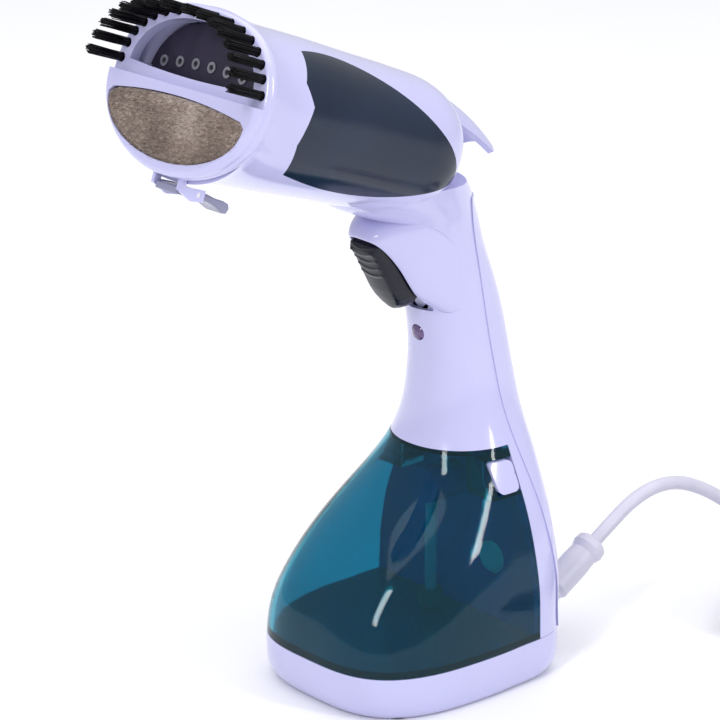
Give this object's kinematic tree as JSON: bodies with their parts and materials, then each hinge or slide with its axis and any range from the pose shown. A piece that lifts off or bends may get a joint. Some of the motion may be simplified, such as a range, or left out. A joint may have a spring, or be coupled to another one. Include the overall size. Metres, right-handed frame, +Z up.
{
  "type": "handheld garment steamer",
  "caption": "Handheld garment steamer: bell-shaped base with slide-out water tank, neck with trigger, tilted head with steam window, brush and lint pad, and mains lead.",
  "frame": {"origin": "middle of the base's outline on its flat underside, which is the plane it stands on", "axes": "+Z up, -Y towards the nozzle, +X to the right when looking along +Y"},
  "size_m": [0.1879, 0.3334, 0.3017],
  "materials": {
    "white_shell": "gloss moulded, pale lilac white",
    "navy_panel": "high gloss piano finish",
    "tank_blue": "clear tinted moulding",
    "trigger_black": "satin gloss",
    "charcoal": "satin heat-resistant moulding",
    "steel": "zinc plated",
    "aluminium_cast": "die cast",
    "rubber_grey": "matte",
    "silicone": "translucent matte",
    "silicone_red": "matte",
    "bristle_black": "drawn nylon filament",
    "pad_pile": "short directional pile",
    "cord_grey": "soft pvc sheath",
    "lens_violet": "diffused lens",
    "black_plastic": "moulded",
    "brass": "turned",
    "ceramic_white": "fired",
    "clear_tube": "extruded",
    "wire_blue": "woven sleeve"
  },
  "bodies": {
    "root": {"base_housing": "white_shell", "base_plate": "white_shell", "front_housing": "white_shell", "rear_cover": "white_shell", "top_cover": "white_shell", "side_panel_left": "navy_panel", "side_panel_right": "navy_panel", "head_collar": "white_shell", "foot_front_left": "rubber_grey", "foot_front_right": "rubber_grey", "foot_rear_left": "rubber_grey", "foot_rear_right": "rubber_grey", "base_screws": "steel", "cover_screws": "steel", "water_port": "black_plastic", "pump_head": "black_plastic", "pump_motor": "steel", "inlet_hose": "silicone", "outlet_hose": "silicone", "heater_block": "aluminium_cast", "heating_element": "steel", "thermostat": "ceramic_white", "thermal_fuse": "steel", "fuse_clip": "steel", "nozzle_plate": "charcoal", "nozzle_eyelets": "steel", "nozzle_gasket": "silicone_red", "trigger_pin": "steel", "trigger_spring": "steel", "microswitch": "black_plastic", "pilot_lens": "lens_violet", "pilot_led": "silicone", "terminal_block": "ceramic_white", "wire_harness": "wire_blue", "supply_wires": "wire_blue", "cord_clamp": "black_plastic", "strain_relief": "cord_grey", "power_cord": "cord_grey", "cord_coil": "cord_grey", "cord_tail": "cord_grey", "plug_body": "cord_grey", "plug_pins": "brass", "cord_tie": "black_plastic"},
    "tank": {"tank_shell": "tank_blue", "tank_back_wall": "tank_blue", "suction_tube": "clear_tube", "suction_filter": "rubber_grey", "port_seal": "silicone_red", "filler_plug": "silicone", "button_springs": "steel"},
    "button_left": {"release_button_left": "white_shell"},
    "button_right": {"release_button_right": "white_shell"},
    "trigger": {"trigger": "trigger_black"},
    "plunger": {"switch_plunger": "ceramic_white"},
    "brush": {"brush_frame": "white_shell", "pad_backing": "charcoal", "lint_pad": "pad_pile", "bristle_tufts": "bristle_black", "latch_pin": "steel"},
    "latch": {"brush_latch": "white_shell"}
  },
  "joints": [
    {"name": "trigger_press", "type": "hinge", "parent": "root", "child": "trigger", "pos_m": [0, -0.0015, 0.1905], "axis": [1, 0, 0], "range_deg": [0, 8], "stiffness_Nm_per_rad": 0.3, "springref_deg": -8.59},
    {"name": "plunger_travel", "type": "slide", "parent": "root", "child": "plunger", "axis": [0, 1, 0], "range_m": [0, 0.00125]},
    {"name": "tank_slide", "type": "slide", "parent": "root", "child": "tank", "axis": [0, -1, 0], "range_m": [0, 0.06]},
    {"name": "button_left_press", "type": "slide", "parent": "tank", "child": "button_left", "axis": [1, 0, 0], "range_m": [0, 0.002], "stiffness_N_per_m": 300, "springref_m": -0.002},
    {"name": "button_right_press", "type": "slide", "parent": "tank", "child": "button_right", "axis": [-1, 0, 0], "range_m": [0, 0.002], "stiffness_N_per_m": 300, "springref_m": -0.002},
    {"name": "brush_pull", "type": "slide", "parent": "root", "child": "brush", "axis": [0, -0.9397, 0.342], "range_m": [0, 0.03]},
    {"name": "latch_press", "type": "hinge", "parent": "brush", "child": "latch", "pos_m": [0, -0.11298, 0.22841], "axis": [1, 0, 0], "range_deg": [0, 8], "stiffness_Nm_per_rad": 0.05, "springref_deg": -11.46}
  ],
  "couplings": [
    {"joint": "plunger_travel", "follows": "trigger_press", "m_per_rad": 0.0086}
  ]
}
